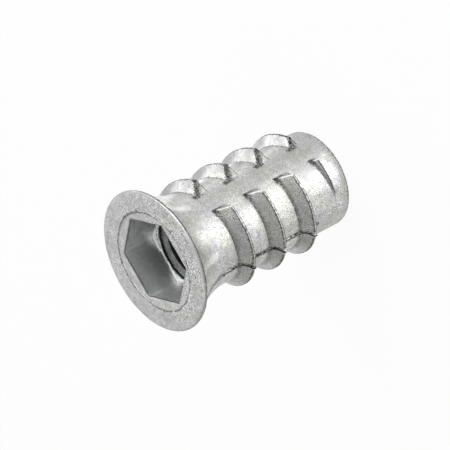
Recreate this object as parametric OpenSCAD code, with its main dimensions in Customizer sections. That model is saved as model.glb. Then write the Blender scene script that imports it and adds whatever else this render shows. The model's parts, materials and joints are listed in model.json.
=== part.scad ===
// Hex-drive threaded insert for wood, flanged type, die-cast in zinc alloy.
// The tail end stands on Z = 0 and the flange face looks up along +Z.
// +X runs through a corner of the hex socket and the middle of a thread-free band.

/* [Body] */
// Overall length, from the tail end to the flange face
length = 21; // [16:0.1:40]
// Thickness of the core's wall, outside the metric thread
wall = 0.9; // [0.8:0.05:2]
// Radius of the rounded outer edge at the tail end
tail_round = 0.35; // [0.1:0.05:0.6]

/* [Flange] */
// Diameter of the flange
flange_d = 14.4; // [12:0.1:18]
// Radius of the rounded edges of the rim
rim_round = 0.2; // [0.05:0.05:0.4]
// Height of the straight band between the rim's two rounded edges
rim_band = 0.05; // [0.05:0.05:1]
// Width of the flat ledge under the rim, where the flare begins
ledge = 0.05; // [0.05:0.05:0.5]
// Height of the concave flare from the ledge down to the core
flare_h = 5.6; // [2:0.1:8]

/* [Hex socket] */
// Play across the flats, for the hex key and for the screw that passes through the socket
socket_play = 0.05; // [0.02:0.01:0.2]
// Depth of the hexagon's flat floor below the flange face
hex_depth = 3.9; // [2:0.1:8]
// Width of the ring between the hexagon's corners and the edge of the round recess around it
recess_ring = 0.4; // [0.1:0.05:1]
// Depth of the recess
recess_depth = 0.12; // [0.06:0.02:0.4]

/* [Metric thread] */
// Nominal diameter of the metric thread, which is the size of the hex key as well
thread_d = 8; // [6:0.5:10]
// Depth of the metric thread, from its nominal diameter in to the tap-drilled bore
thread_depth = 0.6; // [0.3:0.05:0.8]
// Slope of the countersink at both ends of the bore, from the axis
countersink_angle = 45; // [30:5:60]

/* [Wood thread] */
// Height of the coarse outer thread above the core
ridge_h = 1; // [0.5:0.05:1.5]
// Rise of the thread in one turn
pitch = 3.95; // [3:0.05:5]
// Axial width of the sloping flank, on the flange side of a ridge
front_flank = 1.05; // [0.6:0.05:1.5]
// Axial width of the flat land along the crest
crest_land = 0.3; // [0.1:0.05:0.6]
// Axial width of the steep flank, on the tail side of a ridge
back_flank = 0.2; // [0.05:0.05:0.6]
// Height of the thread's first point above the tail end
lead_z = 1.9; // [1.5:0.1:4]
// Azimuth at which the thread's first point lies
lead_angle = -68; // [-90:1:-30]
// Angle over which the thread grows to its full height
lead_in = 115; // [60:5:180]
// Plain length kept between the flange face and the top ridge
neck = 4.3; // [3:0.1:10]

/* [Thread-free bands] */
// Angle at the core between a band's middle and the cutting end of a ridge
cutting_angle = 11; // [6:0.5:25]
// Rake of the cutting end, from the middle plane of the band
cutting_rake = 68; // [30:1:72]
// Angle at the core between a band's middle and the trailing end of a ridge
trailing_angle = 14.5; // [6:0.5:25]
// Rake of the trailing end, from the middle plane of the band
trailing_rake = 52; // [30:1:72]

/* [Hidden] */

thread_r = thread_d / 2;
bore_r = thread_r - thread_depth;
core_r = thread_r + wall;
flange_r = flange_d / 2;
flange_t = rim_band + 2 * rim_round;
// The hexagon is as wide across its flats as the metric thread, so that the screw passes through
hex_r = (thread_d + socket_play) / sqrt(3);
hex_floor = length - hex_depth;
recess_r = hex_r + recess_ring;
// Number of flats that a round mesh has; the exact solid keeps its true circles
round_steps = 96;
// Cutting tools run this far beyond the faces that they open
past = 1;

// The ridges' feet reach this deep into the core, so that they fuse with it
foot_depth = 0.2;
// Angle between two sections of a ridge
ridge_step = 5;
// Smallest share of the full height that a ridge is built with
least_share = 0.02;
// One ridge spans each half turn between the two bands
half_turns = floor(2 * (length - neck - lead_z) / pitch + lead_angle / 180);

// Points on a quarter of a circle of radius r about centre c, from angle a0 to a1
function arc(c, r, a0, a1, n = 8) =
    [for (i = [0 : n]) c + r * [cos(a0 + (a1 - a0) * i / n), sin(a0 + (a1 - a0) * i / n)]];

// The flare is one arc, tangent to the core and meeting the inner end of the ledge
flare_w = flange_r - rim_round - ledge - core_r;
flare_r = (flare_w * flare_w + flare_h * flare_h) / (2 * flare_w);
flare_sweep = asin(flare_h / flare_r);
flare_foot = length - flange_t - flare_h;

// Outer profile of the body, as a half section from the axis
body_outline = concat(
    [[0, 0]],
    arc([core_r - tail_round, tail_round], tail_round, -90, 0),
    arc([core_r + flare_r, flare_foot], flare_r, 180, 180 - flare_sweep, 16),
    arc([flange_r - rim_round, length - flange_t + rim_round], rim_round, -90, 0, 4),
    arc([flange_r - rim_round, length - rim_round], rim_round, 0, 90, 4),
    [[0, length]]
);

module body_solid() {
    rotate_extrude($fn = round_steps) polygon(body_outline);
}

// Azimuth, from the middle of a band, at which the end of a ridge meets the radius r.
// The end is a plane that stands at angle to the band's middle at the core, and leans back by rake.
function end_azimuth(r, angle, rake) = rake + asin(core_r / r * sin(angle - rake));

// Height of the ridge's flange-side crest edge, at azimuth a
function crest_z(a) = lead_z + pitch * (a - lead_angle) / 360;

// Share of the full height that the ridge has at azimuth a
function growth(a) = min(1, max(least_share, (a - lead_angle) / lead_in));

// Section of a ridge as [radius, height above the crest edge], shrunk towards the core under that
// edge. Both flanks run on below the core's surface, down to the ridge's own foot.
function section(share) = let (
        crest = core_r + ridge_h * share,
        foot = core_r - foot_depth,
        back = -crest_land * share,
        back_run = back_flank / ridge_h,
        front_run = front_flank / ridge_h
    ) [
        [foot, back - back_run * (crest - foot)],
        [crest, back],
        [crest, 0],
        [foot, front_run * (crest - foot)]
    ];

// One ridge, from its cutting end after one band to its trailing end before the next.
// half_turn counts from 0; the lead-in is half turn -1 and starts at the thread's first point.
module ridge(half_turn) {
    first = 180 * half_turn;
    start = max(first, lead_angle);
    steps = ceil((first + 180 - start) / ridge_step);
    function azimuth(r, t) = let (
            a0 = start == first ? first + end_azimuth(r, cutting_angle, cutting_rake) : start,
            a1 = first + 180 - end_azimuth(r, trailing_angle, trailing_rake)
        ) a0 + (a1 - a0) * t;
    rings = [for (i = [0 : steps]) let (share = growth(azimuth(core_r, i / steps)))
        [for (p = section(share)) let (a = azimuth(p[0], i / steps))
            [p[0] * cos(a), p[0] * sin(a), crest_z(a) + p[1]]]];
    n = len(rings[0]);
    points = [for (ring = rings) for (p = ring) p];
    sides = [for (i = [0 : steps - 1]) for (j = [0 : n - 1]) let (k = (j + 1) % n)
        each [[i * n + j, i * n + k, (i + 1) * n + j], [(i + 1) * n + j, i * n + k, (i + 1) * n + k]]];
    caps = [[for (j = [n - 1 : -1 : 0]) j], [for (j = [0 : n - 1]) steps * n + j]];
    polyhedron(points, concat(sides, caps), convexity = 6);
}

module wood_thread() {
    for (i = [-1 : half_turns - 1]) ridge(i);
}

// Tool for a countersink that opens the bore to the thread's diameter at height z.
// way is 1 where it opens upwards, and -1 where it opens downwards.
module countersink(z, way) {
    slope = tan(countersink_angle);
    tip = thread_r / slope;
    translate([0, 0, z]) mirror([0, 0, way > 0 ? 0 : 1]) translate([0, 0, -tip])
        cylinder(r1 = 0, r2 = thread_r + past * slope, h = tip + past, $fn = round_steps);
}

// The hexagon, with a flat floor that only its corners keep, and the countersink in that floor
module hex_socket() {
    translate([0, 0, hex_floor]) cylinder(r = hex_r, h = hex_depth + past, $fn = 6);
    intersection() {
        countersink(hex_floor, 1);
        translate([0, 0, hex_floor - thread_d])
            cylinder(r = thread_r, h = thread_d + past / 2, $fn = round_steps);
    }
}

// Everything that the core pin of the die and the tap drill take away
module socket_and_bore() {
    translate([0, 0, length - recess_depth]) cylinder(r = recess_r, h = recess_depth + past, $fn = round_steps);
    hex_socket();
    translate([0, 0, -past]) cylinder(r = bore_r, h = length, $fn = round_steps);
    countersink(0, -1);
}

module insert_body() {
    color("#C4C5C3")
    difference() {
        union() {
            body_solid();
            wood_thread();
        }
        socket_and_bore();
    }
}

insert_body();
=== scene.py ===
"""Looks of a flanged threaded insert for wood, die-cast in zinc alloy and tapped for a metric bolt.

The insert stands on its tail end at Z = 0, with its flange face up. +X runs through a corner of the
hex socket and the middle of a thread-free band. The skin, the tap and the flash are shaped in
millimetres, and the finished skin is scaled to metres. Elsewhere a size is in metres, unless its name
ends in _MM or _mm. Azimuths, elevations and rakes are in degrees.
"""

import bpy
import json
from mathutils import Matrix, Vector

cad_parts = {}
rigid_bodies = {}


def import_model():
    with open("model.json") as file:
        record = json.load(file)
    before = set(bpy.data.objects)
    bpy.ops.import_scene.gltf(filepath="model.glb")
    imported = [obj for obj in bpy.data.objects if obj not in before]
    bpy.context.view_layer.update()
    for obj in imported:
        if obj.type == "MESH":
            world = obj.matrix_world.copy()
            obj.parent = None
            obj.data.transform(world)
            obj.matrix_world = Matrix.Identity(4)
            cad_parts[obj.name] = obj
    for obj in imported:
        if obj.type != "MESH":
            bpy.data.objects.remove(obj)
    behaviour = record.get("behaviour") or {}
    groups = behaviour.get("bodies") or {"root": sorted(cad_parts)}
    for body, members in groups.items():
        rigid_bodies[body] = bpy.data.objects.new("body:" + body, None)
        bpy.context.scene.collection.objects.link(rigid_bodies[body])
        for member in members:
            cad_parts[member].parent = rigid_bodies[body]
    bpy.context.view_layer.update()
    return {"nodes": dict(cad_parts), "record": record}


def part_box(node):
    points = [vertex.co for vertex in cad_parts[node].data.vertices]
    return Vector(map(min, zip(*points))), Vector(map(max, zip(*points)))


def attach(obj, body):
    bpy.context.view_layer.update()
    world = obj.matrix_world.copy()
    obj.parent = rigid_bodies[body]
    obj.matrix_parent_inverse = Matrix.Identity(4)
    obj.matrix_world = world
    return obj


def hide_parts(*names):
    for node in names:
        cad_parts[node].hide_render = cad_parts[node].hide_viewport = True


bl_info = {
    "name": "Threaded insert looks",
    "version": (1, 0, 0),
    "blender": (4, 5, 0),
    "location": "3D View > Sidebar > Insert",
    "description": "Dresses the insert's CAD body as an as-cast, tapped zinc part on a studio floor",
    "category": "Object",
}

import json
import math
from functools import partial
from types import SimpleNamespace

import bpy
import numpy as np
from mathutils import Matrix, Vector

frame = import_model()

NODE = "insert_body"
MM = 0.001
LOW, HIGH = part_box(NODE)
LENGTH_MM = (HIGH[2] - LOW[2]) / MM
MOUNTS = {mount["name"]: mount for mount in frame["record"]["mounts"]}
BORE_R_MM = MOUNTS["metric_bore"]["dims"]["r_mm"]
CORE_R_MM = MOUNTS["wood_hole"]["dims"]["r_mm"]
FLANGE_R_MM = (HIGH[0] - LOW[0]) / 2 / MM

# The coarse outer thread, as the CAD body has it: its rise in one turn, the height and azimuth of
# its first point, the angle over which it grows, and the height and flange-side flank of its section
PITCH_MM, LEAD_Z_MM, LEAD_ANGLE, LEAD_IN = 3.95, 1.9, -68, 115
RIDGE_H_MM, FRONT_FLANK_MM = 1.0, 1.05
# Where the ridges end: angle at the core from the middle of a band, and rake from the band's middle
# plane
CUTTING_ANGLE, CUTTING_RAKE = 11, 68
TRAILING_ANGLE, TRAILING_RAKE = 14.5, 52
# The ridges end under this height, in the neck of the flare
RIDGE_TOP_MM = LENGTH_MM - 4.5
# Depth of the socket's flat floor below the flange face, and radius of the hexagon's corners
HEX_DEPTH_MM, HEX_R_MM = 3.9, 4.65
# Radius of the recess in the flange face
RECESS_R_MM = 5.05


def linear(hex_colour):
    """The scene-linear colour of an sRGB hex value such as #C4C5C3."""
    parts = [int(hex_colour[i:i + 2], 16) / 255 for i in (1, 3, 5)]
    return [c / 12.92 if c <= 0.04045 else ((c + 0.055) / 1.055) ** 2.4 for c in parts] + [1.0]


# ---------------------------------------------------------------- sizes and colours that a user sets

class MetricThreadSettings(bpy.types.PropertyGroup):
    """The fine thread that is tapped in the bore."""
    pitch: bpy.props.FloatProperty(
        name="Pitch", description="Rise of the metric thread in one turn",
        default=1.25 * MM, min=0.5 * MM, unit="LENGTH", precision=5)
    major_r: bpy.props.FloatProperty(
        name="Major radius", description="Radius at the root of the tapped thread",
        default=4.0 * MM, unit="LENGTH", precision=5)
    root_flat: bpy.props.FloatProperty(
        name="Root flat", description="Width of the flat at the bottom of the groove",
        default=0.16 * MM, unit="LENGTH", precision=5)
    steps: bpy.props.IntProperty(
        name="Steps", description="Facets in one turn of the thread", default=40, min=12)


class CastBodySettings(bpy.types.PropertyGroup):
    """How the casting's skin departs from the sharp CAD body."""
    voxel: bpy.props.FloatProperty(
        name="Skin cell", description="Cell size of the skin that is laid over the body",
        default=0.075 * MM, unit="LENGTH", precision=6)
    softening: bpy.props.IntProperty(
        name="Softening", description="Passes that round the edges and fill the roots",
        default=2, min=0)
    ripple: bpy.props.FloatProperty(
        name="Skin ripple", description="How far the as-cast skin wanders from the true surface",
        default=0.03 * MM, unit="LENGTH", precision=6)
    tear: bpy.props.FloatProperty(
        name="Torn ends", description="How rough the torn ends of the ridges are",
        default=0.2 * MM, unit="LENGTH", precision=6)
    triangles: bpy.props.IntProperty(
        name="Triangles", description="Most triangles that the skin keeps", default=190000)
    flash_h: bpy.props.FloatProperty(
        name="Flash height", description="How far the flash stands out at the die's parting line",
        default=0.15 * MM, unit="LENGTH", precision=6)
    flash_w: bpy.props.FloatProperty(
        name="Flash width", description="Thickness of the flash", default=0.18 * MM,
        unit="LENGTH", precision=6)
    flash_bow: bpy.props.FloatProperty(
        name="Flash bow", description="How far the flash bows aside on a ridge's flank",
        default=0.3 * MM, unit="LENGTH", precision=6)


class MetalSettings(bpy.types.PropertyGroup):
    """Colours and gloss of the as-cast zinc."""
    cast: bpy.props.FloatVectorProperty(
        name="Cast metal", description="Colour of the clean as-cast skin",
        default=linear("#CBCBCB"), size=4, min=0.0, max=1.0, subtype="COLOR")
    stain: bpy.props.FloatVectorProperty(
        name="Stain", description="Colour of the skin where it is stained",
        default=linear("#CACBC3"), size=4, min=0.0, max=1.0, subtype="COLOR")
    # Painted light: the socket's colour is a lighter copy of the cast colour, which lightens the shade
    # inside the socket
    socket: bpy.props.FloatVectorProperty(
        name="Socket", description="Colour of the brighter skin in the hex socket",
        default=linear("#F4F7F6"), size=4, min=0.0, max=1.0, subtype="COLOR")
    matt: bpy.props.FloatProperty(
        name="Matt roughness", description="Roughness where the skin is most matt",
        default=0.4, min=0.0, max=1.0, subtype="FACTOR")
    satin: bpy.props.FloatProperty(
        name="Satin roughness", description="Roughness where the skin is smoothest",
        default=0.28, min=0.0, max=1.0, subtype="FACTOR")
    relief: bpy.props.FloatProperty(
        name="Grain relief", description="Height of the finest grain, which is drawn as bump",
        default=0.02 * MM, unit="LENGTH", precision=6)


class StudioSettings(bpy.types.PropertyGroup):
    """Lamps and floor."""
    level: bpy.props.FloatProperty(
        name="Lamp level", description="Brightness of all the lamps together", default=1.0)
    sky: bpy.props.FloatProperty(
        name="Room light", description="Strength of the even light of the room", default=0.44)
    paper: bpy.props.FloatVectorProperty(
        name="Paper", description="Colour of the floor's paper",
        default=linear("#F2F2F0"), size=4, min=0.0, max=1.0, subtype="COLOR")
    white: bpy.props.FloatProperty(
        name="Paper white", description="Share of the floor that the camera sees as plain white",
        default=0.93, min=0.0, max=1.0, subtype="FACTOR")
    mirrored: bpy.props.FloatProperty(
        name="Mirrored white", description="The same share, in what the metal mirrors",
        default=0.76, min=0.0, max=1.0, subtype="FACTOR")
    mirrored_level: bpy.props.FloatProperty(
        name="Mirrored level", description="How bright the white floor is where the metal mirrors it",
        default=0.78, min=0.0, max=1.0, subtype="FACTOR")


# ---------------------------------------------------------------- small helpers

def direction(azimuth, elevation):
    """The unit vector that points to an azimuth and an elevation."""
    turn, lift = math.radians(azimuth), math.radians(elevation)
    return Vector((math.cos(turn) * math.cos(lift), math.sin(turn) * math.cos(lift), math.sin(lift)))


def lone(obj):
    """Leaves obj as the only selected object, and makes it active."""
    if bpy.context.mode != "OBJECT":
        bpy.ops.object.mode_set(mode="OBJECT")
    bpy.ops.object.select_all(action="DESELECT")
    obj.hide_set(False)
    obj.select_set(True)
    bpy.context.view_layer.objects.active = obj


def apply_modifier(obj, kind, **settings):
    """Adds one modifier with its settings to obj and applies it."""
    lone(obj)
    bpy.ops.object.modifier_add(type=kind)
    modifier = obj.modifiers[-1]
    for key, value in settings.items():
        setattr(modifier, key, value)
    bpy.ops.object.modifier_apply(modifier=modifier.name)


def scale_mesh(obj, factor):
    """Scales obj's mesh about the origin, with the object left unscaled."""
    lone(obj)
    bpy.ops.transform.resize(value=(factor, factor, factor), center_override=(0, 0, 0))
    bpy.ops.object.transform_apply(location=True, rotation=True, scale=True)


def merge_doubles():
    """In edit mode, selects the whole mesh, which is in millimetres, and merges what coincides."""
    bpy.ops.mesh.select_all(action="SELECT")
    bpy.ops.mesh.remove_doubles(threshold=0.0005)


def copy_of_node(name):
    """A merged copy of a CAD node, free of its body, with its mesh in millimetres."""
    node = frame["nodes"][name]
    lone(node)
    bpy.ops.object.duplicate()
    copy = bpy.context.active_object
    bpy.ops.object.parent_clear(type="CLEAR_KEEP_TRANSFORM")
    bpy.ops.object.transform_apply(location=True, rotation=True, scale=True)
    scale_mesh(copy, 1 / MM)
    bpy.ops.object.mode_set(mode="EDIT")
    merge_doubles()
    bpy.ops.object.mode_set(mode="OBJECT")
    return copy


def select_verts(obj, test):
    """In edit mode, selects the vertices whose place passes the test."""
    bpy.ops.mesh.select_all(action="DESELECT")
    bpy.ops.object.mode_set(mode="OBJECT")
    for vertex in obj.data.vertices:
        vertex.select = test(vertex.co)
    bpy.ops.object.mode_set(mode="EDIT")


# ---------------------------------------------------------------- metric thread

# Slope of the groove's flanks, from the plane across the bore
THREAD_FLANK = 30
# The tapped groove's last turn runs this deep under the socket's floor, at this azimuth
START_AZIMUTH, START_DEPTH_MM = 145, 0.35
# The tap stands this far inside the bore, and has at least this length to spare beyond it
TAP_INSIDE_MM, TAP_SPARE_MM = 0.2, 2


def metric_thread_cutter(thread):
    """The tap: one groove's section, screwed up the bore from below the tail end into the socket."""
    inner = BORE_R_MM - TAP_INSIDE_MM
    outer = thread.major_r / MM
    rise = thread.pitch / MM
    root = thread.root_flat / MM
    mouth = root + 2 * (outer - inner) * math.tan(math.radians(THREAD_FLANK))
    # The groove passes just under the socket's floor on the far side, where its start is in view
    floor_z = LENGTH_MM - HEX_DEPTH_MM
    turns = math.ceil((floor_z + TAP_SPARE_MM) / rise)
    below = (turns - 1 + START_AZIMUTH / 360) * rise - floor_z + START_DEPTH_MM
    middle = (outer + inner) / 2
    bpy.ops.object.select_all(action="DESELECT")
    bpy.ops.mesh.primitive_plane_add(
        size=outer - inner, location=(middle, 0, -below), rotation=(math.radians(90), 0, 0))
    tap = bpy.context.active_object
    tap.name = "tap"
    bpy.ops.object.transform_apply(location=True, rotation=True, scale=True)
    bpy.ops.object.mode_set(mode="EDIT")
    bpy.ops.mesh.select_all(action="SELECT")
    bpy.ops.mesh.delete(type="ONLY_FACE")
    for side, width in ((-1, mouth), (1, root)):
        select_verts(tap, lambda co: (co.x - middle) * side > 0)
        bpy.ops.transform.resize(value=(1, 1, width / (outer - inner)),
                                 center_override=(middle, 0, -below))
    bpy.ops.object.mode_set(mode="OBJECT")
    apply_modifier(tap, "SCREW", axis="Z", angle=math.tau, screw_offset=rise, iterations=turns,
                   steps=thread.steps, render_steps=thread.steps, use_merge_vertices=False)
    bpy.ops.object.mode_set(mode="EDIT")
    merge_doubles()
    bpy.ops.mesh.select_all(action="DESELECT")
    bpy.ops.mesh.select_non_manifold()
    bpy.ops.mesh.fill_holes(sides=4)
    bpy.ops.mesh.select_all(action="SELECT")
    bpy.ops.mesh.normals_make_consistent(inside=False)
    bpy.ops.object.mode_set(mode="OBJECT")
    return tap


# ---------------------------------------------------------------- flash at the parting line

# The flash runs from just above the tail to just under the rim
FLASH_FOOT_MM, FLASH_TOP_MM = 4.2, LENGTH_MM - 0.6
# How far from the axis the flash is rooted in the wall
FIN_ROOT_MM = 4.45
# Above this height, on the flare, this share of the flash's height is left
FLARE_FLASH_MM, FLARE_SHARE = RIDGE_TOP_MM + 0.2, 0.3
# Cuts in each edge of the flash, so that it can bow smoothly
FLASH_CUTS = 3


def arch_weight(co):
    """How far the flash bows aside at a point in mm: most halfway up a ridge's flank."""
    proud = clamp((math.hypot(co.x, co.y) - CORE_R_MM) / RIDGE_H_MM)
    return 4 * proud * (1 - proud) if co.z < RIDGE_TOP_MM else 0.0


def flash_fin(body, height, width, bow):
    """A thin slice of the body across the two parting lines, grown outwards by the flash's height."""
    lone(body)
    bpy.ops.object.duplicate()
    fin = bpy.context.active_object
    fin.name = "flash"
    cuts = [((width / 2, 0, 0), (1, 0, 0)), ((-width / 2, 0, 0), (-1, 0, 0)),
            ((0, 0, FLASH_TOP_MM), (0, 0, 1)), ((0, 0, FLASH_FOOT_MM), (0, 0, -1))]
    bpy.ops.object.mode_set(mode="EDIT")
    for place, way in cuts:
        bpy.ops.mesh.select_all(action="SELECT")
        bpy.ops.mesh.bisect(plane_co=place, plane_no=way, use_fill=True, clear_outer=True)
    bpy.ops.mesh.select_all(action="SELECT")
    bpy.ops.mesh.quads_convert_to_tris()
    bpy.ops.mesh.subdivide(number_cuts=FLASH_CUTS)
    growth = 1 + height / CORE_R_MM
    bpy.ops.transform.resize(value=(1, growth, 1), center_override=(0, 0, 0))
    less = (1 + FLARE_SHARE * height / CORE_R_MM) / growth
    select_verts(fin, lambda co: co.z > FLARE_FLASH_MM)
    bpy.ops.transform.resize(value=(1, less, 1), center_override=(0, 0, 0))
    # The fin's inner faces are pushed into the wall, clear of the socket and the tapped groove
    for side in (-1, 1):
        select_verts(fin, lambda co: 0 < co.y * side < FIN_ROOT_MM)
        bpy.ops.transform.resize(value=(1, 0, 1), center_override=(0, side * FIN_ROOT_MM, 0))
    bpy.ops.object.mode_set(mode="OBJECT")
    for side in (-1, 1):
        mark(fin, "bow", lambda co: arch_weight(co) if co.y * side > 0 else 0.0)
        apply_modifier(fin, "DISPLACE", direction="X", mid_level=0, strength=-side * bow,
                       vertex_group="bow")
        bpy.ops.object.vertex_group_remove(all=True)
    return fin


# ---------------------------------------------------------------- marks on the skin

# A ridge owns the skin down to this far under the edge of its crest, and the rest of a pitch above it
OWNED_MM = 1.5
# Each pair says how a mark fades: its reach, in mm across a flank or in degrees along the thread, and
# its weight on its own line, which is over 1 where it stays full for a while.
# The line of painted shade at a ridge's foot: under the front flank, round the trailing end, and along
# the thread, where it weakens to a least weight. It runs on past the trailing end by the last number, in
# degrees
FOOT_FLANK, FOOT_END, FOOT_RUN, FOOT_LEAST, FOOT_PAST = (0.13, 1.4), (1.2, 1.3), (9, 1.6), 0.7, 1
# The painted highlight on the top edge of the trailing end
TIP_END = (1.6, 1.5)
# The torn skin of the cutting end: behind the front flank, and along the thread
TORN_FLANK, TORN_CUT = (0.6, 1.5), (3.0, 1.3)
# The torn foot of the trailing end: behind the front flank, up the flank, and along the thread, on the
# ridge's side and on the band's side of the end
TORN_FOOT, TORN_FOOT_H, TORN_INSIDE, TORN_BAND = (0.3, 1.2), (0.4, 1.0), (9.0, 1.2), (1.5, 1.2)
# The softened corner of the socket, on each side
CORNER_SIDE = (0.3, 1.6)
# Heights above the core between which a ridge has its foot, and above which its end has a top
FOOT_LOW_MM, FOOT_HIGH_MM, TIP_LOW_MM = -0.1, 0.2, 0.12
# How far in front of the front flank the torn skin and the other marks reach
TORN_AHEAD_MM, AHEAD_MM = 0.35, 0.2
# The torn skin starts at this height
TORN_START_MM = 1.8
# The corners are softened from this far above the socket's floor to this far below the flange face,
# outside a radius that leaves the countersink as it is
CORNER_FLOOR_MM, CORNER_FACE_MM, CORNER_R_MM = 0.2, 0.3, BORE_R_MM + 0.7


def clamp(value):
    """The value, kept from 0 to 1."""
    return min(1.0, max(0.0, value))


def near(distance, reach, start):
    """Weight at a distance from a line: start on the line, 1 less for each reach away, from 0 to 1."""
    return clamp(start - abs(distance) / reach)


def end_azimuth(radius, angle, rake):
    """Azimuth from the middle of a band at which a ridge's end meets a radius in mm."""
    lean = CORE_R_MM / max(radius, CORE_R_MM) * math.sin(math.radians(angle - rake))
    return rake + math.degrees(math.asin(lean))


def on_ridge(co):
    """Where a point in mm lies on the ridge nearest to it: its height above the core, its distance
    behind the front flank, its angles inside the cutting end and the trailing end, and the share of
    the full height that the ridge has there."""
    radius = math.hypot(co.x, co.y)
    azimuth = math.degrees(math.atan2(co.y, co.x))
    above = (co.z - LEAD_Z_MM - PITCH_MM * (azimuth - LEAD_ANGLE) / 360 + OWNED_MM) % PITCH_MM - OWNED_MM
    proud = min(radius - CORE_R_MM, RIDGE_H_MM)
    share = clamp((co.z - above - LEAD_Z_MM) / PITCH_MM * 360 / LEAD_IN)
    behind = FRONT_FLANK_MM * (share - proud / RIDGE_H_MM) - above
    cut = azimuth % 180 - end_azimuth(radius, CUTTING_ANGLE, CUTTING_RAKE)
    trail = 180 - azimuth % 180 - end_azimuth(radius, TRAILING_ANGLE, TRAILING_RAKE)
    return proud, behind, cut, trail, share


def foot_weight(co):
    """How near a point in mm is to the foot of a ridge's front flank or trailing end, from 0 to 1."""
    if not LEAD_Z_MM < co.z < RIDGE_TOP_MM:
        return 0.0
    proud, behind, cut, trail, share = on_ridge(co)
    if not FOOT_LOW_MM < proud < FOOT_HIGH_MM or cut < 0 or behind < -AHEAD_MM:
        return 0.0
    end = near(trail, *FOOT_END) if behind < FRONT_FLANK_MM * share else 0.0
    run = FOOT_LEAST + (1 - FOOT_LEAST) * near(trail, *FOOT_RUN)
    front = near(behind, *FOOT_FLANK) * run if trail > -FOOT_PAST else 0.0
    return max(end, front)


def tip_weight(co):
    """How near a point in mm is to the top edge of a ridge's trailing end, from 0 to 1."""
    if not LEAD_Z_MM < co.z < RIDGE_TOP_MM:
        return 0.0
    proud, behind, _, trail, _ = on_ridge(co)
    return near(trail, *TIP_END) if proud > TIP_LOW_MM and behind > -AHEAD_MM else 0.0


def tear_weight(co):
    """How torn the skin is at a point in mm, from 0 to 1: the ends of the ridges, at their front."""
    if not TORN_START_MM < co.z < RIDGE_TOP_MM:
        return 0.0
    proud, behind, cut, trail, _ = on_ridge(co)
    if proud < FOOT_LOW_MM or behind < -TORN_AHEAD_MM:
        return 0.0
    at_cut = near(behind, *TORN_FLANK) * near(cut, *TORN_CUT)
    foot = near(max(proud, 0.0), *TORN_FOOT_H) * near(behind, *TORN_FOOT)
    at_trail = foot * near(trail, *(TORN_INSIDE if trail > 0 else TORN_BAND))
    return max(at_cut, at_trail)


def corner_weight(co):
    """How near a point in mm is to one of the hex socket's upright corners, from 0 to 1."""
    radius = math.hypot(co.x, co.y)
    floor_z = LENGTH_MM - HEX_DEPTH_MM
    if radius <= CORNER_R_MM or not floor_z + CORNER_FLOOR_MM < co.z < LENGTH_MM - CORNER_FACE_MM:
        return 0.0
    turn = math.degrees(math.atan2(co.y, co.x)) % 60
    return near(radius * math.radians(min(turn, 60 - turn)), *CORNER_SIDE)


def mark(obj, name, weigh):
    """Puts the vertices to which weigh gives a weight in a new vertex group."""
    group = obj.vertex_groups.new(name=name)
    for vertex in obj.data.vertices:
        weight = weigh(vertex.co)
        if weight > 0:
            group.add([vertex.index], weight, "REPLACE")


def note(obj, name, values):
    """Keeps one value for each vertex as an attribute that a material reads."""
    obj.data.attributes.new(name, "FLOAT", "POINT").data.foreach_set("value", values)


def sharpness(mesh):
    """How sharply the skin turns at each vertex: above 0 on edges, below 0 in roots."""
    place = np.empty(3 * len(mesh.vertices), np.float32)
    normal = np.empty_like(place)
    ends = np.empty(2 * len(mesh.edges), np.int32)
    mesh.vertices.foreach_get("co", place)
    mesh.vertices.foreach_get("normal", normal)
    mesh.edges.foreach_get("vertices", ends)
    place, normal, ends = place.reshape(-1, 3), normal.reshape(-1, 3), ends.reshape(-1, 2)
    turn, count = np.zeros(len(place)), np.zeros(len(place))
    for here, there in ((ends[:, 0], ends[:, 1]), (ends[:, 1], ends[:, 0])):
        way = place[there] - place[here]
        fall = -(way * normal[here]).sum(1) / np.linalg.norm(way, axis=1)
        np.add.at(turn, here, fall)
        np.add.at(count, here, 1)
    return turn / count


# ---------------------------------------------------------------- as-cast roughness

# Each roughening: grain of its clouds in mm, and the brightness that leaves the skin where it is. The
# ripple rests near its brightest, so it only goes inwards, and the tears go both ways
RIPPLE, TEAR = (0.9, 0.9), (0.22, 0.5)
# Strength of one pass of softening, and number of passes on the socket's corners
SOFT_PASS, CORNER_PASSES = 0.5, 14


def roughen(obj, name, grain_mm, rest, height_mm, group=""):
    """Moves the skin in and out by clouds of the grain's size, within a vertex group if one is named."""
    clouds = bpy.data.textures.new(name, type="CLOUDS")
    clouds.noise_scale = grain_mm
    clouds.noise_depth = 2
    apply_modifier(obj, "DISPLACE", texture=clouds, texture_coords="LOCAL", direction="NORMAL",
                   mid_level=rest, strength=height_mm, vertex_group=group)


# ---------------------------------------------------------------- zinc casting

def add(tree, kind, inputs=(), **settings):
    """Adds one node with its settings. Each input, by its name or in order, is given a value, or is
    linked to a socket or to the first live output of another node."""
    node = tree.nodes.new("ShaderNode" + kind)
    for key, value in settings.items():
        setattr(node, key, value)
    named = inputs if isinstance(inputs, dict) else dict(enumerate(inputs))
    for key, value in named.items():
        if isinstance(value, bpy.types.Node):
            value = next(output for output in value.outputs if output.enabled)
        if isinstance(value, bpy.types.NodeSocket):
            tree.links.new(value, node.inputs[key])
        else:
            node.inputs[key].default_value = value
    return node


def new_material(name):
    """An empty node material."""
    material = bpy.data.materials.new(name)
    material.use_nodes = True
    material.node_tree.nodes.clear()
    return material


# Noise of the skin: size in mm of its widest spots, number of finer layers, and strength of each layer
# against the last. The sand of a real casting is finer still, and is drawn this coarse so that it shows
SKIN_NOISE = {
    "sand": (0.08, 1.0, 0.5),
    "grit": (0.17, 2.0, 0.6),
    "blotch": (0.55, 3.0, 0.65),
    "patchy": (1.9, 1.0, 0.5),
    "stain": (2.6, 2.0, 0.5),
}
# Azimuths at which the skin is coarsest, on the shank and on the flange, and about which the lands of
# the ridges get painted shade
COARSE_SHANK, COARSE_FLANGE, LAND_SHADE_AZIMUTH = -75, -40, -130
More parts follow.
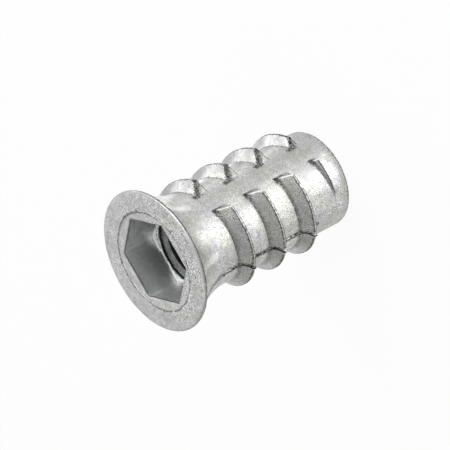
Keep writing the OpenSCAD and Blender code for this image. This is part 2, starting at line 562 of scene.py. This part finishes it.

# Each darkening trace: how much it darkens the metal. The tears darken the torn skin; the other traces
# are painted shade on edges, in roots and in the bore, under the socket's lip, round the recess, beside
# the flash and on the ridges' feet and lands
TRACE_DARKENING = {
    "seam": 0.95,
    "tears": 0.8,
    "edge": 0.8,
    "root": 1.0,
    "bore": 0.8,
    "lip": 0.55,
    "ring": 0.3,
    "foot": 0.65,
    "land": 0.65,
}
# How the grit breaks a trace up: it goes from the third number to the fourth, as the grit goes from
# the first to the second
BROKEN = {
    "seam": (0.4, 0.54, 0.3, 1.0),
    "tears": (0.38, 0.6, 1.0, 0.3),
    "ring": (0.35, 0.5, 0.4, 1.0),
    "foot": (0.41, 0.53, 0.0, 1.0),
    "land": (0.38, 0.52, 0.4, 1.0),
}

# Inside the first radius the skin is the socket's, and inside the second the hexagon's edge has no
# painted shade
SOCKET_R_MM, UNSHADED_R_MM = HEX_R_MM + 0.03, HEX_R_MM + 0.1
# The tapped thread lies inside this radius, and the corners of the socket's floor outside it
TAPPED_R_MM = 4.12
# Depths below the flange face at which the socket starts, and at which the ring round the recess and
# the unshaded edge of the hexagon end
SOCKET_TOP_MM, RING_FOOT_MM, UNSHADED_FOOT_MM = 0.2, 0.3, 0.24
# Depths below it at which the tapped bore and the socket's floor start
TAPPED_TOP_MM, FLOOR_TOP_MM = HEX_DEPTH_MM - 0.1, HEX_DEPTH_MM - 0.12
# Depths below it between which the finish changes: at the rim, under the edge of the hexagon, in the
# recess, between flare and flange, and at the mouth of the bore
RIM_FADE_MM, LIP_FADE_MM, RECESS_FADE_MM = (0.22, 0.14), (0.42, 0.34), (0.4, 0.3)
FLANGE_FADE_MM, BORE_FADE_MM = (0.9, 0.6), (HEX_DEPTH_MM + 0.25, HEX_DEPTH_MM + 0.15)
# Shares that are left past those depths, of the painted shade in the recess's roots and in the bore's
# mouth, and of the stain on the flange
RECESS_ROOTS, BORE_MOUTH, FLANGE_STAIN = 0.2, 0.25, 0.25
# The top edge has no painted shade within this width of the rim, and the grain fades to a share
# between these
RIM_WIDTH_MM, RIM_FADE_IN_MM, RIM_GRAIN = 0.4, (0.35, 0.2), 0.3

# The painted shade along the parting line: how far it wanders with the grit and the blotches, its
# distance from the flash's middle on the core, and its half width, from full to none
SEAM_WANDER_MM, SEAM_GAP_MM, SEAM_WIDTH_MM = (0.3, 0.9), 0.18, (0.09, 0.18)
# Share of the gap by which the line thins on the core, and share of a ridge's height at which the two
# lines have become one
SEAM_THIN, SEAM_JOINED = 0.3, 0.2
# The line is drawn on skin that lies less than this far inside the core's radius
SEAM_DEPTH_MM = 0.15

# Sharpness from which painted shade starts on edges and in roots, and at which it is full, and how
# far the grit and the socket shift it
EDGE_SHARP, ROOT_SHARP, SHARP_GRIT, SHARP_SOCKET = (0.036, 0.066), (-0.03, -0.065), 0.04, 0.02
# Strength of the painted shade in roots, and what the tapped bore adds
ROOT_SHADE, ROOT_BORE = 0.6, 0.12
# Shares of a ridge's height between which its land starts
LAND_START = (0.88, 0.95)
# Half width of the ring of painted shade round the recess, from full to none
RING_WIDTH_MM = (0.02, 0.07)

# In these, what depends on a side or on a noise goes from the third number to the fourth, as that goes
# from the first to the second. Painted shade on the ridges' feet and lands, by side
FOOT_SIDE, LAND_SIDE = (-0.2, 0.3, 0.0, 1.0), (0.75, 0.85, 0.0, 1.0)
# Stain, by side and by its noise
STAIN_SIDE, STAIN_NOISE = (-0.2, 0.5, 0.1, 1.0), (0.44, 0.54, 0.8, 0.0)
# Grain, by side on the shank and on the flange, and by patches
SHANK_GRAIN, FLANGE_GRAIN = (-1.0, 1.0, 0.5, 2.1), (-0.5, 1.0, 1.4, 3.6)
PATCHY_GRAIN = (0.4, 0.62, 0.8, 1.7)
# Share of the grain that the socket loses
SOCKET_CALM = 0.4
# How much the brightness swings with the sand, the grit and the patches, and with the blotches, to
# which the socket adds some
SAND_SWING, GRIT_SWING, PATCHY_SWING, BLOTCH_SWING, SOCKET_SWING = 0.9, 0.2, 0.4, 0.75, 0.35
# Painted highlights and painted light that brighten the metal: on the socket's corners, on its floor
# and on the tops of the trailing ends
CORNER_HIGHLIGHT, FLOOR_LIGHT, TIP_HIGHLIGHT = 0.6, 0.5, 0.45
# Blotches between which the roughness goes from matt to satin, and what each mark adds to it
SATIN_BLOTCH = (0.35, 0.65)
ROUGHER = {"tear": 0.25, "socket": 0.12, "floor": 0.15}
# Share of the grit in the bump, and the bump's strength
BUMP_GRIT, BUMP_STRENGTH = 0.6, 0.35


def below_face(*depths_mm):
    """Heights in metres of places at these depths in mm below the flange face."""
    return [(LENGTH_MM - depth) * MM for depth in depths_mm]


def skin_fields(tree):
    """What the finish is worked out from: places, directions, the skin's noise and its marks."""
    node = partial(add, tree)
    place = node("TexCoord").outputs["Object"]
    skin = SimpleNamespace(node=node)
    for name, (size_mm, layers, share) in SKIN_NOISE.items():
        setattr(skin, name, node("TexNoise", {"Vector": place, "Scale": 1 / (size_mm * MM),
                                              "Detail": layers, "Roughness": share}))
    for name in ("tear", "corner", "foot", "tip", "sharp"):
        setattr(skin, name, node("Attribute", attribute_name=name).outputs["Fac"])
    skin.x, skin.y, skin.z = node("SeparateXYZ", {"Vector": place}).outputs
    flat = node("VectorMath", [place, (1, 1, 0)], operation="MULTIPLY")
    skin.radius = node("VectorMath", [flat], operation="LENGTH")
    skin.outwards = node("VectorMath", [flat], operation="NORMALIZE")
    skin.facing = toward(skin, COARSE_SHANK)
    return skin


def toward(skin, azimuth):
    """How far the insert's side faces an azimuth: 1 towards it, -1 away from it."""
    return skin.node("VectorMath", [skin.outwards, direction(azimuth, 0)], operation="DOT_PRODUCT")


def overlap(skin, *masks):
    """The product of masks, which is where they all hold."""
    whole = masks[0]
    for mask in masks[1:]:
        whole = skin.node("Math", [whole, mask], operation="MULTIPLY")
    return whole


def without(skin, mask, share=1.0):
    """What is left when a mask takes its share away."""
    return skin.node("Math", [mask, -share, 1.0], operation="MULTIPLY_ADD")


def swing(skin, noise, size):
    """Noise that swings by this size in all, about 0."""
    return skin.node("Math", [noise, size, -size / 2], operation="MULTIPLY_ADD")


def broken(skin, name):
    """How the grit breaks up the named trace of oxide."""
    return skin.node("MapRange", [skin.grit, *BROKEN[name]])


def mark_socket(skin):
    """Marks the hex socket, the corners of its floor and the tapped bore."""
    node, radius, z = skin.node, skin.radius, skin.z
    skin.socket = overlap(skin, node("Math", [radius, SOCKET_R_MM * MM], operation="LESS_THAN"),
                          node("Math", [z, *below_face(SOCKET_TOP_MM)], operation="LESS_THAN"))
    skin.bore = overlap(skin, node("Math", [radius, TAPPED_R_MM * MM], operation="LESS_THAN"),
                        node("Math", [z, *below_face(TAPPED_TOP_MM)], operation="LESS_THAN"),
                        node("MapRange", [z, *below_face(*BORE_FADE_MM), 1.0, BORE_MOUTH]))
    skin.floor = overlap(skin, node("Math", [radius, TAPPED_R_MM * MM], operation="GREATER_THAN"),
                         node("Math", [z, *below_face(FLOOR_TOP_MM)], operation="LESS_THAN"),
                         skin.socket)


def mark_ridges(skin):
    """Marks how high the skin stands on a ridge, as a share of the ridge's height."""
    node, core, crest = skin.node, CORE_R_MM * MM, (CORE_R_MM + RIDGE_H_MM) * MM
    skin.proud = overlap(skin, node("MapRange", [skin.radius, core, crest, 0.0, 1.0]),
                         node("Math", [skin.z, RIDGE_TOP_MM * MM], operation="LESS_THAN"))


def seam_shade(skin, bow):
    """Painted shade along the flash: a dark line on each side of it, and one ragged line over a ridge's
    flank, where it bows aside."""
    node = skin.node
    arch = overlap(skin, skin.proud, without(skin, skin.proud), 4 * bow)
    side = node("Math", [overlap(skin, skin.y, -1.0)], operation="SIGN")
    grit_mm, blotch_mm = SEAM_WANDER_MM
    wander = node("Math", [swing(skin, skin.grit, grit_mm * MM), swing(skin, skin.blotch, blotch_mm * MM)],
                  operation="ADD")
    aside = node("Math", [overlap(skin, skin.x, side), arch], operation="SUBTRACT")
    aside = node("Math", [aside, wander], operation="ADD")
    gap = node("MapRange", [skin.proud, 0.0, SEAM_JOINED, SEAM_GAP_MM * MM, 0.0])
    beside = node("Math", [node("Math", [aside], operation="ABSOLUTE"), gap], operation="SUBTRACT")
    beside = node("Math", [beside], operation="ABSOLUTE")
    off = node("Math", [gap, SEAM_THIN, beside], operation="MULTIPLY_ADD")
    full, none = (width * MM for width in SEAM_WIDTH_MM)
    return overlap(
        skin, node("MapRange", [off, full, none, 1.0, 0.0]),
        node("Math", [skin.radius, (CORE_R_MM - SEAM_DEPTH_MM) * MM], operation="GREATER_THAN"),
        node("Math", [skin.z, FLASH_TOP_MM * MM], operation="LESS_THAN"),
        node("Math", [skin.z, FLASH_FOOT_MM * MM], operation="GREATER_THAN"),
        broken(skin, "seam"))


def edge_shade(skin):
    """Thin ragged lines of painted shade on sharp edges, except on the rim and on the hexagon's
    unshaded edge.
    """
    node, radius, z = skin.node, skin.radius, skin.z
    under_rim = node("MapRange", [z, *below_face(*RIM_FADE_MM), 1.0, 0.0])
    inside_rim = node("Math", [radius, (FLANGE_R_MM - RIM_WIDTH_MM) * MM], operation="LESS_THAN")
    unshaded = overlap(skin, node("Math", [radius, UNSHADED_R_MM * MM], operation="LESS_THAN"),
                    node("Math", [z, *below_face(UNSHADED_FOOT_MM)], operation="GREATER_THAN"))
    return overlap(skin, node("MapRange", [skin.turning, *EDGE_SHARP, 0.0, 1.0]),
                   node("Math", [under_rim, inside_rim], operation="MAXIMUM"), without(skin, unshaded))


def root_shade(skin):
    """Painted shade in the roots, which the recess and the socket's floor have little or none of."""
    node = skin.node
    turning = node("Math", [skin.socket, SHARP_SOCKET, skin.turning], operation="MULTIPLY_ADD")
    return overlap(skin, node("MapRange", [turning, *ROOT_SHARP, 0.0, 1.0]),
                   node("Math", [skin.bore, ROOT_BORE, ROOT_SHADE], operation="MULTIPLY_ADD"),
                   without(skin, skin.floor),
                   node("MapRange", [skin.z, *below_face(*RECESS_FADE_MM), 1.0, RECESS_ROOTS]))


def ring_shade(skin):
    """A faint ragged line of painted shade round the recess in the flange face."""
    node = skin.node
    off = node("Math", [skin.radius, RECESS_R_MM * MM], operation="SUBTRACT")
    off = node("Math", [off], operation="ABSOLUTE")
    full, none = (width * MM for width in RING_WIDTH_MM)
    return overlap(skin, node("Math", [skin.z, *below_face(RING_FOOT_MM)], operation="GREATER_THAN"),
                   node("MapRange", [off, full, none, 1.0, 0.0]), broken(skin, "ring"))


def darkening_traces(skin, bow):
    """All the darkening traces by name, the torn skin's and the painted shade, and the painted highlight
    on the tops of the trailing ends.
    """
    node = skin.node
    skin.turning = node("Math", [skin.sharp, swing(skin, skin.grit, SHARP_GRIT)], operation="ADD")
    edge = edge_shade(skin)
    tip_highlight = overlap(skin, skin.tip, edge)
    traces = {
        "seam": seam_shade(skin, bow),
        "tears": overlap(skin, skin.tear, broken(skin, "tears")),
        "edge": node("Math", [edge, tip_highlight], operation="SUBTRACT"),
        "root": root_shade(skin),
        # Painted shade over the tapped bore, lighter at its mouth
        "bore": skin.bore,
        # Painted shade on the socket's walls just under the hexagon's edge
        "lip": overlap(skin, node("MapRange", [skin.z, *below_face(*LIP_FADE_MM), 0.0, 1.0]), skin.socket),
        "ring": ring_shade(skin),
        # Painted shade at the ridges' feet, strongest on one side of the insert
        "foot": overlap(skin, skin.foot, broken(skin, "foot"),
                        node("MapRange", [skin.facing, *FOOT_SIDE])),
        # Painted shade on the ridges' lands past the parting line, strongest on one side of the insert
        "land": overlap(skin, node("MapRange", [skin.proud, *LAND_START, 0.0, 1.0]),
                        node("MapRange", [toward(skin, LAND_SHADE_AZIMUTH), *LAND_SIDE]),
                        broken(skin, "land")),
    }
    return traces, tip_highlight


def metal_colour(skin, metal):
    """Pale grey, faintly stained on the shank, with painted light in the socket: a lighter colour there
    that lightens its shade.
    """
    node = skin.node
    stained = overlap(skin, node("MapRange", [skin.stain, *STAIN_NOISE]),
                      node("MapRange", [skin.z, *below_face(*FLANGE_FADE_MM), 1.0, FLANGE_STAIN]),
                      node("MapRange", [skin.facing, *STAIN_SIDE]))
    cast = node("Mix", {0: stained, 6: metal.cast, 7: metal.stain}, data_type="RGBA")
    return node("Mix", {0: skin.socket, 6: cast, 7: metal.socket}, data_type="RGBA")


def grain_strength(skin):
    """How strong the sandy grain is: in patches, weaker in the socket, and strongest on the side that
    each of the shank and the flange has it on."""
    node = skin.node
    shank = node("MapRange", [skin.facing, *SHANK_GRAIN])
    flange = node("MapRange", [toward(skin, COARSE_FLANGE), *FLANGE_GRAIN])
    on_flange = node("MapRange", [skin.z, *below_face(*FLANGE_FADE_MM), 0.0, 1.0])
    rim = [(FLANGE_R_MM - width) * MM for width in RIM_FADE_IN_MM]
    return overlap(skin, node("MapRange", [skin.patchy, *PATCHY_GRAIN]),
                   without(skin, skin.socket, SOCKET_CALM),
                   node("Mix", {0: on_flange, 2: shank, 3: flange}, data_type="FLOAT"),
                   node("MapRange", [skin.radius, *rim, 1.0, RIM_GRAIN]))


def brightness(skin, traces, tip_highlight):
    """The metal's brightness: grain and clouds, then painted highlights and painted light, then the torn
    skin and the painted shade that darken it.
    """
    node = skin.node
    sand, grit = swing(skin, skin.sand, SAND_SWING), swing(skin, skin.grit, GRIT_SWING)
    speckle = node("Math", [sand, grit], operation="ADD")
    grain = node("Math", [speckle, grain_strength(skin), 1.0], operation="MULTIPLY_ADD")
    depth = node("Math", [skin.socket, SOCKET_SWING, BLOTCH_SWING], operation="MULTIPLY_ADD")
    cloud = node("Math", [swing(skin, skin.blotch, 1.0), depth, 1.0], operation="MULTIPLY_ADD")
    cloud = node("Math", [cloud, swing(skin, skin.patchy, PATCHY_SWING)], operation="ADD")
    # Painted highlight along the socket's upright corners
    corner = node("Math", [skin.corner, CORNER_HIGHLIGHT, 1.0], operation="MULTIPLY_ADD")
    # Painted light on the corners of the socket's floor, which lie in the socket's shade, and the painted
    # highlight on the tops of the trailing ends
    painted_light = node("Math", [skin.floor, FLOOR_LIGHT, 1.0], operation="MULTIPLY_ADD")
    painted_light = node("Math", [tip_highlight, TIP_HIGHLIGHT, painted_light], operation="MULTIPLY_ADD")
    clear = [without(skin, traces[name], strength) for name, strength in TRACE_DARKENING.items()]
    return overlap(skin, grain, cloud, corner, painted_light, *clear)


def roughness(skin, metal):
    """Satin and matt clouds, and more matt in the socket and on the torn ends."""
    rough = skin.node("MapRange", [skin.blotch, *SATIN_BLOTCH, metal.matt, metal.satin])
    for name, more in ROUGHER.items():
        rough = skin.node("Math", [getattr(skin, name), more, rough], operation="MULTIPLY_ADD")
    return rough


def die_cast_zinc(metal, bow):
    """Zinc die-casting alloy, as cast: a satin grey metal with a sandy grain, and with painted shade on
    its edges, in its roots and hollows, and painted highlights in places.
    """
    material = new_material("Zinc alloy, as die-cast")
    skin = skin_fields(material.node_tree)
    node = skin.node
    mark_socket(skin)
    mark_ridges(skin)
    traces, tip_highlight = darkening_traces(skin, bow)
    tint = node("VectorMath", {0: metal_colour(skin, metal), "Scale": brightness(skin, traces, tip_highlight)},
                operation="SCALE")
    height = node("Math", [skin.grit, BUMP_GRIT, skin.sand], operation="MULTIPLY_ADD")
    height = node("Math", [height, skin.blotch], operation="ADD")
    bump = node("Bump", {"Height": height, "Strength": BUMP_STRENGTH, "Distance": metal.relief})
    shader = node("BsdfPrincipled", {"Base Color": tint, "Metallic": 1.0,
                                     "Roughness": roughness(skin, metal), "Normal": bump})
    node("OutputMaterial", {"Surface": shader})
    return material


# ---------------------------------------------------------------- studio paper

def studio_floor(studio):
    """Matt pale paper: it stays white where it is seen, and keeps the object's soft shadow."""
    material = new_material("Studio floor, matt white paper")
    node = partial(add, material.node_tree)
    ray = node("LightPath").outputs
    glossy = node("Math", [ray["Is Glossy Ray"], studio.mirrored], operation="MULTIPLY")
    share = node("Math", [ray["Is Camera Ray"], studio.white, glossy], operation="MULTIPLY_ADD")
    level = node("MapRange", {"Value": ray["Is Camera Ray"], "To Min": studio.mirrored_level})
    paper = node("BsdfDiffuse", {"Color": studio.paper})
    glow = node("Emission", {"Color": linear("#FFFFFF"), "Strength": level})
    node("OutputMaterial", {"Surface": node("MixShader", [share, paper, glow])})
    return material


# ---------------------------------------------------------------- operators

class INSERT_OT_cast_body(bpy.types.Operator):
    """Lays the as-cast skin over the CAD body, with the tapped bore and the flash"""
    bl_idname = "insert.cast_body"
    bl_label = "Cast body"

    def execute(self, context):
        skin = context.scene.insert_cast
        body = copy_of_node(NODE)
        body.name = "cast_insert"
        fin = flash_fin(body, skin.flash_h / MM, skin.flash_w / MM, skin.flash_bow / MM)
        tap = metric_thread_cutter(context.scene.insert_thread)
        apply_modifier(body, "BOOLEAN", operation="DIFFERENCE", object=tap, solver="EXACT")
        lone(body)
        fin.select_set(True)
        bpy.ops.object.join()
        apply_modifier(body, "REMESH", mode="VOXEL", voxel_size=skin.voxel / MM, adaptivity=0.0,
                       use_smooth_shade=True)
        apply_modifier(body, "SMOOTH", factor=SOFT_PASS, iterations=skin.softening)
        roughen(body, "ripple", *RIPPLE, skin.ripple / MM)
        mark(body, "corner", corner_weight)
        apply_modifier(body, "SMOOTH", factor=SOFT_PASS, iterations=CORNER_PASSES, vertex_group="corner")
        mark(body, "torn", tear_weight)
        roughen(body, "tear", *TEAR, skin.tear / MM, "torn")
        dense = sum(len(face.vertices) - 2 for face in body.data.polygons)
        apply_modifier(body, "DECIMATE", decimate_type="COLLAPSE",
                       ratio=min(1.0, skin.triangles / dense))
        lone(body)
        bpy.ops.object.vertex_group_remove(all=True)
        weights = {"tear": tear_weight, "corner": corner_weight, "foot": foot_weight, "tip": tip_weight}
        for name, weigh in weights.items():
            note(body, name, [weigh(vertex.co) for vertex in body.data.vertices])
        note(body, "sharp", sharpness(body.data))
        lone(tap)
        bpy.ops.object.delete()
        scale_mesh(body, MM)
        bpy.ops.object.shade_smooth()
        body.data.materials.clear()
        body.data.materials.append(die_cast_zinc(context.scene.insert_metal, skin.flash_bow))
        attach(body, "root")
        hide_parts(NODE)
        return {"FINISHED"}


# Each softbox faces the insert's middle from the same distance: its azimuth and elevation, and its
# power in watts
SOFTBOXES = {
    "softbox_back": (160, 35, 0.049),
    "softbox_left": (120, 35, 0.09),
    "softbox_low_left": (80, 8, 0.20),
    "softbox_top": (40, 35, 0.31),
    "softbox_high": (30, 62, 0.10),
    "softbox_overhead": (0, 88, 0.11),
    "softbox_low_right": (0, 8, 0.40),
    "softbox_front": (-40, 8, 0.05),
    "softbox_camera": (-34, 40, 0.020),
    "softbox_right": (-90, 62, 0.012),
    "softbox_behind": (-150, 62, 0.07),
}
SOFTBOX_DISTANCE, SOFTBOX_SIZE = 0.35, (0.20, 0.20)
# Light panels lie on the floor around the insert, in three rings, and shine up at its undercut sides.
# The rings' inner and outer radii are in mm; each azimuth has a brightness for each ring
PANEL_RINGS_MM = ((6, 12), (12, 22), (22, 40))
PANELS = {
    -84: (0.04, 0.04, 0.04),
    -68: (0.02, 0.13, 0.12),
    -52: (0.15, 0.20, 0.30),
    -36: (0.32, 0.33, 0.20),
    -20: (0.16, 0.18, 0.03),
    -4: (0.04, 0.10, 0.14),
    60: (0.10, 0.10, 0.10),
    100: (0.24, 0.24, 0.24),
}
# A panel's power in watts for each square metre, its width as a share of its distance from the
# insert's axis, and its height above the floor
PANEL_POWER, PANEL_SPREAD, PANEL_LIFT = 16, 0.28, 0.0002
FLOOR_R, FLOOR_SIDES = 1.5, 96
MIDDLE = Vector((0, 0, LENGTH_MM / 2 * MM))

# The camera: where it looks from, its roll, the point that it looks at and its distance from there,
# its lens and the width of its film
CAMERA_AZIMUTH, CAMERA_ELEVATION, CAMERA_ROLL = -34.5, 33.8, -117.5
CAMERA_AIM_MM, CAMERA_DISTANCE = (1.18, -0.84, 12.86), 0.39
CAMERA_LENS_MM, CAMERA_FILM_MM, CAMERA_NEAR = 329.4, 36, 0.01


def area_lamp(name, place, turn, size, power):
    """A rectangular lamp that the camera doesn't see."""
    bpy.ops.object.light_add(type="AREA", location=place, rotation=turn)
    lamp = bpy.context.active_object
    lamp.name = name
    lamp.data.shape = "RECTANGLE"
    lamp.data.size, lamp.data.size_y = size
    lamp.data.energy = power
    lamp.visible_camera = False


def light_studio(level):
    """Hangs the softboxes around the insert and lays the panels on the floor."""
    for name, (azimuth, elevation, power) in SOFTBOXES.items():
        way = direction(azimuth, elevation)
        area_lamp(name, MIDDLE + way * SOFTBOX_DISTANCE, way.to_track_quat("Z", "Y").to_euler(),
                  SOFTBOX_SIZE, power * level)
    for azimuth, levels in PANELS.items():
        turn = math.radians(azimuth)
        for ring, ((inner, outer), brightness) in enumerate(zip(PANEL_RINGS_MM, levels)):
            middle = (inner + outer) / 2 * MM
            size = ((outer - inner) * MM, middle * PANEL_SPREAD)
            place = (math.cos(turn) * middle, math.sin(turn) * middle, PANEL_LIFT)
            area_lamp(f"panel_{azimuth}_{ring}", place, (math.pi, 0, turn), size,
                      PANEL_POWER * size[0] * size[1] * brightness * level)


def room_light(sky):
    """A room with even light on the insert, which the camera sees as plain white."""
    world = bpy.data.worlds.new("Studio room")
    world.use_nodes = True
    world.node_tree.nodes.clear()
    node = partial(add, world.node_tree)
    ray = node("LightPath").outputs["Is Camera Ray"]
    level = node("MapRange", {"Value": ray, "To Min": sky, "To Max": 1.0})
    light = node("Background", {"Color": linear("#FFFFFF"), "Strength": level})
    node("OutputWorld", {"Surface": light})
    return world


def studio_camera():
    """A long lens that looks down on the flange, rolled so that the insert lies across the view."""
    bpy.ops.object.camera_add()
    camera = bpy.context.active_object
    camera.name = "camera"
    back = direction(CAMERA_AZIMUTH, CAMERA_ELEVATION)
    place = Matrix.Translation(Vector(CAMERA_AIM_MM) * MM + back * CAMERA_DISTANCE)
    upright = back.to_track_quat("Z", "Y").to_matrix().to_4x4()
    camera.matrix_world = place @ upright @ Matrix.Rotation(math.radians(CAMERA_ROLL), 4, "Z")
    camera.data.sensor_width = CAMERA_FILM_MM
    camera.data.lens = CAMERA_LENS_MM
    camera.data.clip_start = CAMERA_NEAR
    return camera


class INSERT_OT_stage(bpy.types.Operator):
    """Sets the floor, the lamps, the room light and the camera"""
    bl_idname = "insert.stage"
    bl_label = "Studio"

    def execute(self, context):
        studio = context.scene.insert_studio
        bpy.ops.object.select_all(action="DESELECT")
        bpy.ops.mesh.primitive_circle_add(
            vertices=FLOOR_SIDES, radius=FLOOR_R, fill_type="NGON", location=(0, 0, 0))
        floor = context.active_object
        floor.name = "floor"
        floor.data.materials.append(studio_floor(studio))
        light_studio(studio.level)
        context.scene.world = room_light(studio.sky)
        context.scene.camera = studio_camera()
        context.scene.view_settings.view_transform = "Standard"
        return {"FINISHED"}


# ---------------------------------------------------------------- panel and registration

class INSERT_PT_panel(bpy.types.Panel):
    """Lists the insert's operators and settings"""
    bl_idname = "INSERT_PT_panel"
    bl_label = "Threaded insert"
    bl_space_type = "VIEW_3D"
    bl_region_type = "UI"
    bl_category = "Insert"

    def draw(self, context):
        for name in GROUPS:
            group = getattr(context.scene, name)
            box = self.layout.box()
            for key in group.__annotations__:
                box.prop(group, key)
        for operator in OPERATORS:
            self.layout.operator(operator.bl_idname)


GROUPS = {
    "insert_thread": MetricThreadSettings,
    "insert_cast": CastBodySettings,
    "insert_metal": MetalSettings,
    "insert_studio": StudioSettings,
}
OPERATORS = (INSERT_OT_cast_body, INSERT_OT_stage)
CLASSES = (*GROUPS.values(), *OPERATORS, INSERT_PT_panel)


def register():
    """Registers the classes and gives the scene its settings."""
    for cls in CLASSES:
        bpy.utils.register_class(cls)
    for name, group in GROUPS.items():
        setattr(bpy.types.Scene, name, bpy.props.PointerProperty(type=group))


def unregister():
    """Takes the settings and the classes away again."""
    for name in GROUPS:
        delattr(bpy.types.Scene, name)
    for cls in reversed(CLASSES):
        bpy.utils.unregister_class(cls)


def main():
    """Registers the classes, and makes each piece and the stage."""
    register()
    bpy.ops.insert.cast_body()
    bpy.ops.insert.stage()


if __name__ == "__main__":
    main()
